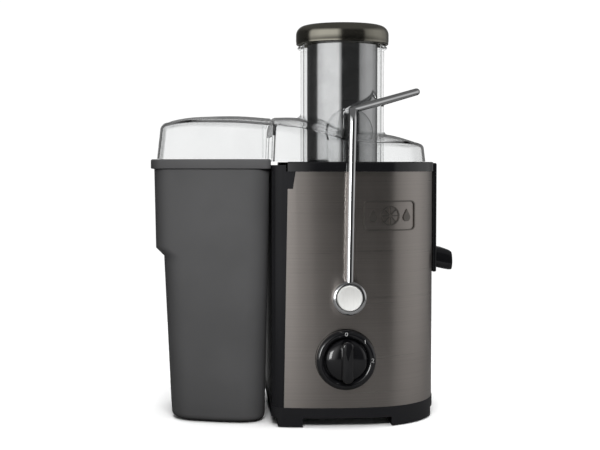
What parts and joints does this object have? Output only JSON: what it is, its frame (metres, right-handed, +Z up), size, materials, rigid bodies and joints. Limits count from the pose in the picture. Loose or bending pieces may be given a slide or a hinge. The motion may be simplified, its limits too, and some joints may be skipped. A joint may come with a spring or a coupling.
{
  "type": "centrifugal juicer",
  "caption": "Centrifugal juicer with a brushed dark steel body, clear lid and feed chute, locking wire arm, pulp bin at the side, juice spout and rotary switch.",
  "frame": {"origin": "middle of the footprint of the whole object, on the surface it stands on; the arm's pivot axis is at x = 35.5 mm and the motor axis at x = 45.5 mm, y = 4 mm", "axes": "+X towards the juice spout, -Y towards the front with the switch, +Z up"},
  "size_m": [0.2964, 0.228, 0.383],
  "materials": {
    "base_plastic": "satin",
    "housing_plastic": "satin",
    "rubber": "matte",
    "zinc": "satin",
    "black_steel": "brushed",
    "gloss_black": "gloss",
    "silicone": "matte",
    "clear_plastic": "clear",
    "polished_steel": "polished",
    "cap_brown": "metallic gloss",
    "lamination": "matte",
    "copper": "satin",
    "fan_plastic": "matte",
    "bracket_metal": "satin",
    "brass": "satin",
    "carbon": "matte",
    "chrome": "polished",
    "satin_metal": "brushed",
    "cam_plastic": "satin",
    "switch_plastic": "satin",
    "button_red": "gloss",
    "bin_plastic": "satin"
  },
  "bodies": {
    "root": {"base_tray": "base_plastic", "rubber_feet": "rubber", "base_screws": "zinc", "housing": "housing_plastic", "steel_wrap": "black_steel", "emblem": "black_steel", "bowl": "gloss_black", "bowl_seal": "silicone", "lid": "clear_plastic", "shaft_seal": "rubber", "field_stack": "lamination", "field_coils": "copper", "upper_bearing": "zinc", "lower_bearing": "zinc", "upper_bracket": "bracket_metal", "lower_bracket": "bracket_metal", "brush_holders": "brass", "carbon_brushes": "carbon", "rubber_dampers": "rubber", "motor_screws": "zinc", "pivot_bushes": "fan_plastic", "interlock_switch": "switch_plastic", "knob_bezel": "gloss_black", "rotary_switch": "switch_plastic", "cord_gland": "rubber"},
    "arm": {"locking_arm": "chrome", "pivot_discs": "chrome", "pivot_caps": "satin_metal", "pivot_pins": "zinc", "interlock_cam": "cam_plastic"},
    "pusher": {"pusher_sleeve": "polished_steel", "pusher_cap": "cap_brown", "pusher_plug": "housing_plastic"},
    "basket": {"strainer_basket": "polished_steel", "grater_disc": "polished_steel", "basket_hub": "housing_plastic", "drive_coupling": "housing_plastic", "motor_shaft": "zinc", "armature": "lamination", "commutator": "copper", "cooling_fan": "fan_plastic"},
    "knob": {"knob": "gloss_black", "knob_shaft": "zinc"},
    "bin": {"pulp_bin": "bin_plastic"},
    "interlock": {"interlock_button": "button_red"}
  },
  "joints": [
    {"name": "arm_swing", "type": "hinge", "parent": "root", "child": "arm", "pos_m": [0.0355, 0.004, 0.122], "axis": [0, 1, 0], "range_deg": [0, 95]},
    {"name": "pusher_slide", "type": "slide", "parent": "root", "child": "pusher", "axis": [0, 0, 1], "range_m": [0, 0.165]},
    {"name": "basket_spin", "type": "hinge", "parent": "root", "child": "basket", "pos_m": [0.0455, 0.004, 0.16], "axis": [0, 0, 1], "continuous": true},
    {"name": "knob_turn", "type": "hinge", "parent": "root", "child": "knob", "pos_m": [0.0331, 0.004, 0.064], "axis": [0, 1, 0], "range_deg": [0, 90]},
    {"name": "bin_slide", "type": "slide", "parent": "root", "child": "bin", "axis": [-1, 0, 0], "range_m": [0, 0.16]},
    {"name": "interlock_press", "type": "slide", "parent": "root", "child": "interlock", "axis": [0, 0, 1], "range_m": [0, 0.0015]}
  ],
  "couplings": [
    {"joint": "interlock_press", "follows": "arm_swing", "m_per_rad": 0.0009}
  ]
}
